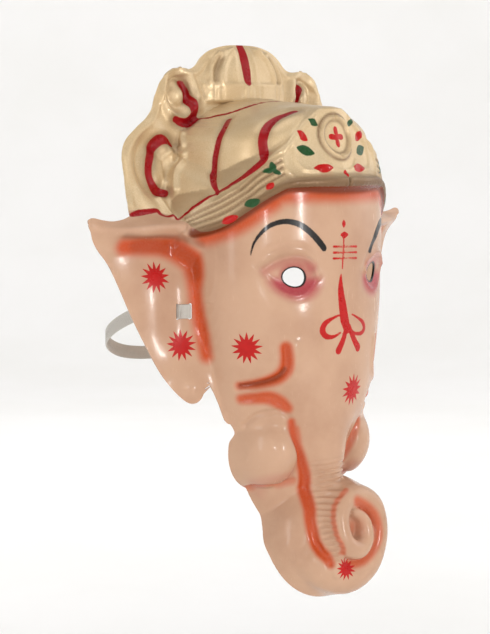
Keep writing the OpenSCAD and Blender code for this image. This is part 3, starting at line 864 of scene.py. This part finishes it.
class Nodes:
    """Short ways to add the nodes that these materials use."""

    def __init__(self, name):
        self.material = bpy.data.materials.new(name)
        self.material.use_nodes = True
        self.tree = self.material.node_tree
        self.shader = self.tree.nodes["Principled BSDF"]
        self.coords = self.tree.nodes.new("ShaderNodeTexCoord").outputs["Object"]

    def feed(self, socket, value):
        if isinstance(value, bpy.types.NodeSocket):
            self.tree.links.new(value, socket)
        elif value is not None:
            socket.default_value = value

    def math(self, kind, a, b=None, c=None, clamp=False):
        node = self.tree.nodes.new("ShaderNodeMath")
        node.operation = kind
        node.use_clamp = clamp
        for socket, value in zip(node.inputs, (a, b, c)):
            self.feed(socket, value)
        return node.outputs[0]

    def vector(self, kind, a, b=None):
        node = self.tree.nodes.new("ShaderNodeVectorMath")
        node.operation = kind
        self.feed(node.inputs[0], a)
        self.feed(node.inputs[1], b)
        return node.outputs["Value" if kind in ("DOT_PRODUCT", "LENGTH") else "Vector"]

    def field(self, name):
        node = self.tree.nodes.new("ShaderNodeAttribute")
        node.attribute_name = name
        return node.outputs["Fac"]

    def noise(self, scale, detail=3, roughness=0.5, vector=None):
        node = self.tree.nodes.new("ShaderNodeTexNoise")
        self.feed(node.inputs["Vector"], vector or self.coords)
        self.feed(node.inputs["Scale"], scale)
        self.feed(node.inputs["Detail"], detail)
        self.feed(node.inputs["Roughness"], roughness)
        return node.outputs["Fac"]

    def mix(self, share, a, b, kind="MIX"):
        node = self.tree.nodes.new("ShaderNodeMix")
        node.data_type = "RGBA"
        node.blend_type = kind
        self.feed(node.inputs[0], share)
        self.feed(node.inputs[6], a)
        self.feed(node.inputs[7], b)
        return node.outputs[2]

    def spread(self, value, low, high, to_low=0.0, to_high=1.0, smooth_ends=True):
        node = self.tree.nodes.new("ShaderNodeMapRange")
        node.interpolation_type = "SMOOTHSTEP" if smooth_ends else "LINEAR"
        for socket, v in zip(node.inputs, (value, low, high, to_low, to_high)):
            self.feed(socket, v)
        return node.outputs[0]

    def bump(self, height, distance, strength=1.0, normal=None):
        node = self.tree.nodes.new("ShaderNodeBump")
        self.feed(node.inputs["Strength"], strength)
        self.feed(node.inputs["Distance"], distance)
        self.feed(node.inputs["Height"], height)
        self.feed(node.inputs["Normal"], normal)
        return node.outputs[0]

    def surface(self, **values):
        for name, value in values.items():
            self.feed(self.shader.inputs[name.replace("_", " ")], value)
        return self.material


# ---------------------------------------------------------------- materials
STAR_POINTS = 13
STAR_OUTER = 10.2
STAR_CORE = 5.6
# Middle of each red star as [x, z], mirrored ones twice, and its size
STARS = [(-98.5, 25, 1.0), (98.5, 25, 1.0), (-83, -18, 1.0), (83, -18, 1.0),
         (-60, -19, 1.0), (60, -19, 1.0), (11, -49, 1.05), (-3, -162, 0.75)]


def star_field(n, x, z, size):
    """Signed distance, in millimetres, inside a star lying on the form at [x, z]."""
    def at(dx, dz):
        px, pz = np.array([x + dx * 1.0]), np.array([z + dz * 1.0])
        return np.array([px[0], front(px, pz)[0], pz[0]])

    middle = at(0, 0)
    across = at(3, 0) - at(-3, 0)
    upward = at(0, 3) - at(0, -3)
    across /= np.linalg.norm(across)
    upward -= across * (upward @ across)
    upward /= np.linalg.norm(upward)
    local = n.vector("SUBTRACT", n.coords, tuple(middle * MM))
    u = n.vector("DOT_PRODUCT", local, tuple(across / MM))
    v = n.vector("DOT_PRODUCT", local, tuple(upward / MM))
    reach = n.math("MULTIPLY", n.vector("LENGTH", local), 1 / MM)
    turn = n.math("MULTIPLY", n.math("ARCTAN2", u, v), STAR_POINTS / (2 * math.pi))
    wave = n.math("MULTIPLY", n.math("PINGPONG", turn, 0.5), 2.0)
    spike = n.math("POWER", n.math("SUBTRACT", 1.0, wave), 1.5)
    edge = n.math("MULTIPLY_ADD", spike, (STAR_OUTER - STAR_CORE) * size, STAR_CORE * size)
    return n.math("SUBTRACT", edge, reach)


def painted_shell():
    n = Nodes("painted_shell")
    edge_noise = n.math("MULTIPLY_ADD", n.noise(900, 2), 0.5, -0.25)

    def sharp(name, blur=0.35):
        return n.spread(n.math("ADD", n.field(name), edge_noise), -blur, blur)

    cloud = n.noise(22, 4)
    fine = n.noise(260, 4, 0.6)
    skin = n.mix(n.spread(cloud, 0.35, 0.7), tint("c39c80"), tint("b48b70"))
    skin = n.mix(n.math("MULTIPLY", fine, 0.18), skin, tint("d0b097"))
    mottle = n.spread(n.noise(700, 3, 0.7), 0.2, 0.8, 0.9, 1.0)
    skin = n.mix(n.math("MULTIPLY", n.field("orange"), mottle), skin, tint("be430f"))
    skin = n.mix(n.math("MULTIPLY", n.field("pink"), mottle), skin, tint("a83644"))
    # painted shade: dark brown under the diadem, in the cheek fold and under the ear's roll
    skin = n.mix(n.math("MULTIPLY", n.field("painted_shade"), 0.9), skin, tint("642606"))

    flakes = n.spread(n.noise(2600, 2, 0.8), 0.3, 0.75)
    gold = n.mix(flakes, tint("c8ae86"), tint("e8d2af"))
    gold = n.mix(n.spread(n.noise(30, 3), 0.3, 0.75, 0.0, 0.4), gold, tint("b89462"))
    # painted shade: the gold darkens to brown under the diadem's edge, over its wings and in the
    # crown's hollows
    gold = n.mix(n.math("MULTIPLY", n.field("painted_gold_shade"), 0.85), gold, tint("5c3615"))
    is_gold = sharp("gold", 0.5)
    base = n.mix(is_gold, skin, gold)

    marks = n.field("red")
    for x, z, size in STARS:
        marks = n.math("MAXIMUM", marks, star_field(n, x, z, size))
    marks = n.spread(n.math("ADD", marks, edge_noise), -0.3, 0.3)
    layers = [
        (sharp("crimson"), "980a12"),
        (sharp("green"), "1f4a24"),
        (sharp("black"), "17110e"),
        (marks, "b80e0a"),
    ]
    any_mark = None
    for share, code in layers:
        darker = n.mix(0.12, tint(code), tint("000000"))
        shade = n.mix(n.spread(fine, 0.3, 0.7), tint(code), darker)
        base = n.mix(share, base, shade)
        any_mark = share if any_mark is None else n.math("MAXIMUM", any_mark, share)

    bare_gold = n.math("MULTIPLY", is_gold, n.math("SUBTRACT", 1.0, any_mark))
    rough = n.spread(n.noise(60, 5, 0.65), 0.3, 0.75, 0.16, 0.27)
    rough = n.math("ADD", rough, n.math("MULTIPLY", bare_gold, 0.14))
    rough = n.math("ADD", rough, n.math("MULTIPLY", any_mark, 0.08))
    scratch_space = n.vector("MULTIPLY", n.coords, (1.0, 1.0, 0.12))
    scratch = n.spread(n.noise(900, 2, 0.4, scratch_space), 0.62, 0.72)
    rough = n.math("ADD", rough, n.math("MULTIPLY", scratch, 0.06))

    ripple = n.math("MULTIPLY", n.noise(120, 2), 0.8)
    grain = n.math("MULTIPLY_ADD", n.noise(1500, 3, 0.7), 0.12, ripple)
    grain = n.math("MULTIPLY_ADD", bare_gold, n.math("MULTIPLY", flakes, 0.12), grain)
    grain = n.math("MULTIPLY_ADD", any_mark, 0.25, grain)
    return n.surface(
        Base_Color=base, Roughness=rough, Metallic=n.math("MULTIPLY", bare_gold, 0.28),
        Normal=n.bump(grain, 0.00012), Coat_Weight=0.1, Coat_Roughness=0.08,
        Specular_IOR_Level=0.22)


def bare_shell():
    n = Nodes("bare_shell")
    cloud = n.spread(n.noise(18, 4), 0.3, 0.7)
    base = n.mix(cloud, tint("e8c7aa"), tint("dfb896"))
    base = n.mix(n.math("MULTIPLY", n.noise(240, 4, 0.6), 0.2), base, tint("f3dcc8"))
    ripple = n.math("MULTIPLY_ADD", n.noise(1200, 3, 0.7), 0.2, n.noise(90, 3))
    rough = n.spread(n.noise(70, 5, 0.6), 0.3, 0.75, 0.34, 0.5)
    return n.surface(Base_Color=base, Roughness=rough, Normal=n.bump(ripple, 0.00015),
                     Specular_IOR_Level=0.45)


WALE_PITCH = 0.75          # knitted ribs across the elastic, mm
COURSE_PITCH = 0.9         # knitted rows along it


def elastic_webbing():
    n = Nodes("elastic_webbing")
    along, across = n.field("along"), n.field("across")
    wales = n.math("SINE", n.math("MULTIPLY", across, 2 * math.pi / WALE_PITCH))
    courses = n.math("SINE", n.math("MULTIPLY_ADD", along, 2 * math.pi / COURSE_PITCH,
                                    n.math("MULTIPLY", wales, 0.9)))
    weave = n.math("MULTIPLY", n.math("ADD", wales, courses), 0.5)
    fuzz = n.noise(2400, 4, 0.7)
    base = n.mix(n.spread(weave, -0.8, 0.6), tint("a7a098"), tint("dad5cc"))
    base = n.mix(n.spread(n.noise(45, 3), 0.35, 0.75, 0.0, 0.4), base, tint("bdb6ab"))
    height = n.math("MULTIPLY_ADD", fuzz, 0.5, weave)
    rough = n.spread(fuzz, 0.3, 0.7, 0.72, 0.88)
    return n.surface(Base_Color=base, Roughness=rough, Normal=n.bump(height, 0.00015),
                     Sheen_Weight=0.25, Sheen_Roughness=0.5)


def staple_wire():
    n = Nodes("staple_wire")
    streaks = n.noise(1500, 3, 0.6, n.vector("MULTIPLY", n.coords, (1.0, 1.0, 0.15)))
    base = n.mix(n.spread(streaks, 0.3, 0.7), tint("a7a8ab"), tint("d7d8da"))
    rough = n.spread(streaks, 0.3, 0.7, 0.2, 0.38)
    return n.surface(Base_Color=base, Roughness=rough, Metallic=1.0,
                     Normal=n.bump(streaks, 0.00003))


# ---------------------------------------------------------------- elastic strap
STRAP_WIDTH = 9.0
STRAP_THICK = 1.1
STRAP_RIBS = 11
RIB_HEIGHT = 0.09
# Centre line of the half on the +X side as [x, y, z], from its tail inside the ear, through the
# inner slit, over the web in front and out at the outer slit, to the middle of the back
STRAP_TAIL = [[81.4, 31.5, 3], [81.4, 26, 3], [79.6, 20.5, 3], [77.2, 15.5, 3], [76.9, 12.4, 3],
              [77.5, 10.9, 3], [80.2, 11.2, 3], [83.0, 12.6, 3], [83.9, 14.2, 3], [83.8, 17, 3],
              [82.9, 22, 3], [82.7, 28, 3]]
STRAP_FREE = [[83.0, 36, 2.8], [84.2, 44, 2], [85, 54, -1], [84.5, 65, -5], [82.5, 77, -10],
              [78, 89, -15.5], [70, 100, -21], [58, 109, -27], [42, 116, -32], [22, 120, -35],
              [0, 121, -36]]


WEB_POINTS = slice(5, 8)   # the tail's points in front of the web between the slits


def strap_centre_line():
    tail = np.array(STRAP_TAIL, float)
    lift = front(tail[:, 0], tail[:, 2]) + 0.2
    tail[WEB_POINTS, 1] = lift[WEB_POINTS] - STRAP_THICK / 2 - 0.5
    half = smooth(np.vstack([tail, STRAP_FREE]), 8)
    other = half[:-1][::-1] * [-1, 1, 1]
    return np.vstack([half, other])


def make_strap():
    line = strap_centre_line()
    ahead = np.gradient(line, axis=0)
    ahead /= np.linalg.norm(ahead, axis=1)[:, None]
    out = np.column_stack([ahead[:, 1], -ahead[:, 0], np.zeros(len(line))])
    out /= np.linalg.norm(out, axis=1)[:, None]
    up = np.cross(out, ahead)
    count = STRAP_RIBS * 4
    across = np.linspace(-0.5, 0.5, count + 1)
    edge = cap((2 * across) ** 16)
    swell = (RIB_HEIGHT * np.cos(across * STRAP_RIBS * 2 * math.pi) + STRAP_THICK / 2) * edge
    section = [(a * STRAP_WIDTH, s) for a, s in zip(across, swell)]
    section += [(a * STRAP_WIDTH, -s) for a, s in zip(across[-2:0:-1], swell[-2:0:-1])]
    ring_size = len(section)
    verts, along, place = [], [], []
    run = np.concatenate([[0], np.cumsum(np.linalg.norm(np.diff(line, axis=0), axis=1))])
    for p, o, u, s in zip(line, out, up, run):
        verts += [p + o * t + u * a for a, t in section]
        along += [s] * ring_size
        place += [a for a, _ in section]
    faces = []
    for i in range(len(line) - 1):
        for j in range(ring_size):
            a, b = i * ring_size + j, i * ring_size + (j + 1) % ring_size
            faces.append((a, b, b + ring_size, a + ring_size))
    for start, order in ((0, -1), ((len(line) - 1) * ring_size, 1)):
        for j in range(count):
            low = start + j
            high = start + (ring_size - j) % ring_size
            low_next = start + j + 1
            high_next = start + ring_size - j - 1
            faces.append((low, low_next, high_next, high)[::order])
    strap = make_object("elastic_strap", verts, [f for f in faces if len(set(f)) == 4],
                        elastic_webbing())
    add_field(strap, "along", along)
    add_field(strap, "across", place)
    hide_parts("strap_loop_left", "strap_loop_right", "head_strap")
    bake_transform(strap)


def finish_staples():
    steel = staple_wire()
    for name in ("staple_left", "staple_right"):
        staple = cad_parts[name]
        staple.data.materials.clear()
        staple.data.materials.append(steel)


# ---------------------------------------------------------------- floor and light
FLOOR_Z = -0.42
BOWL_FLAT = 3.0
BOWL_ROUND = 1.6
BOWL_TOP = 3.4
BOWL_STEPS = 8
FLOOR_SIDES = 96


def floor_material():
    n = Nodes("pale_floor")
    base = n.mix(n.spread(n.noise(3, 3), 0.3, 0.7), tint("f6f5f3"), tint("f9f8f7"))
    return n.surface(Base_Color=base, Roughness=0.9, Specular_IOR_Level=0.1)


def make_floor():
    """A round pale floor whose edge curves up into a plain wall all the way round."""
    profile = [(1.0, 0.0), (BOWL_FLAT, 0.0)]
    for step in range(1, BOWL_STEPS + 1):
        t = step / BOWL_STEPS * math.pi / 2
        profile.append((BOWL_FLAT + BOWL_ROUND * math.sin(t), BOWL_ROUND * (1 - math.cos(t))))
    profile.append((BOWL_FLAT + BOWL_ROUND, BOWL_TOP))
    sides = FLOOR_SIDES
    verts, faces = [], []
    for radius, height in profile:
        for k in range(sides):
            t = 2 * math.pi * k / sides
            verts.append((radius * math.cos(t) / MM, radius * math.sin(t) / MM,
                          (FLOOR_Z + height) / MM))
    for i in range(len(profile) - 1):
        for k in range(sides):
            a, b = i * sides + k, i * sides + (k + 1) % sides
            faces.append((a, a + sides, b + sides, b))
    verts.append((0, 0, FLOOR_Z / MM))
    middle = len(verts) - 1
    faces += [(middle, k, (k + 1) % sides) for k in range(sides)]
    mesh = bpy.data.meshes.new("floor")
    mesh.from_pydata([tuple(c * MM for c in v) for v in verts], [], faces)
    mesh.polygons.foreach_set("use_smooth", [True] * len(mesh.polygons))
    floor = bpy.data.objects.new("floor", mesh)
    bpy.context.scene.collection.objects.link(floor)
    mesh.materials.append(floor_material())


# Place of each softbox, its width and height in metres, and its power
LIGHTS = {
    "front_window": ((0.075, -1.75, 0.02), 0.09, 0.26, 6.5),
    "small_window": ((-1.0, -1.5, 0.04), 0.07, 0.09, 2.2),
    "left_strip": ((-1.75, -0.35, 0.30), 0.30, 0.9, 4.5),
    "right_fill": ((1.8, -0.8, 0.6), 1.2, 1.2, 5),
    "top": ((0.0, -0.3, 1.7), 1.3, 1.3, 7),
    "back": ((0.3, 1.9, 1.0), 1.4, 1.2, 5),
}
BACKDROP_LIGHTS = 4
BACKDROP_RADIUS = 1.4
BACKDROP_HEIGHT = 1.9
BACKDROP_POWER = 34
BACKDROP_SIZE = (1.6, 0.5)
BACKDROP_AIM = (4, 0.3)    # distance and height of the patch of wall that each one lights
WORLD_STRENGTH = 0.4


def softbox(name, place, aim, width, height, power):
    data = bpy.data.lights.new(name, "AREA")
    data.shape = "RECTANGLE"
    data.size = width
    data.size_y = height
    data.energy = power
    light = bpy.data.objects.new(name, data)
    light.location = place
    light.rotation_euler = (Vector(aim) - Vector(place)).to_track_quat("-Z", "Y").to_euler()
    bpy.context.scene.collection.objects.link(light)


def make_lights():
    for name, (place, width, height, power) in LIGHTS.items():
        softbox(name, place, (0, 0, 0), width, height, power)
    # these face outward and only brighten the wall
    for k in range(BACKDROP_LIGHTS):
        t = 2 * math.pi * (k + 0.5) / BACKDROP_LIGHTS
        place = (BACKDROP_RADIUS * math.cos(t), BACKDROP_RADIUS * math.sin(t), BACKDROP_HEIGHT)
        reach, height = BACKDROP_AIM
        aim = (reach * math.cos(t), reach * math.sin(t), height)
        softbox("wall_light", place, aim, *BACKDROP_SIZE, BACKDROP_POWER)
    world = bpy.data.worlds.new("studio")
    world.use_nodes = True
    sky = world.node_tree.nodes["Background"]
    sky.inputs["Color"].default_value = (1, 1, 1, 1)
    sky.inputs["Strength"].default_value = WORLD_STRENGTH
    bpy.context.scene.world = world
    bpy.context.scene.view_settings.view_transform = "Standard"


make_camera()
make_shell()
make_strap()
finish_staples()
make_floor()
make_lights()
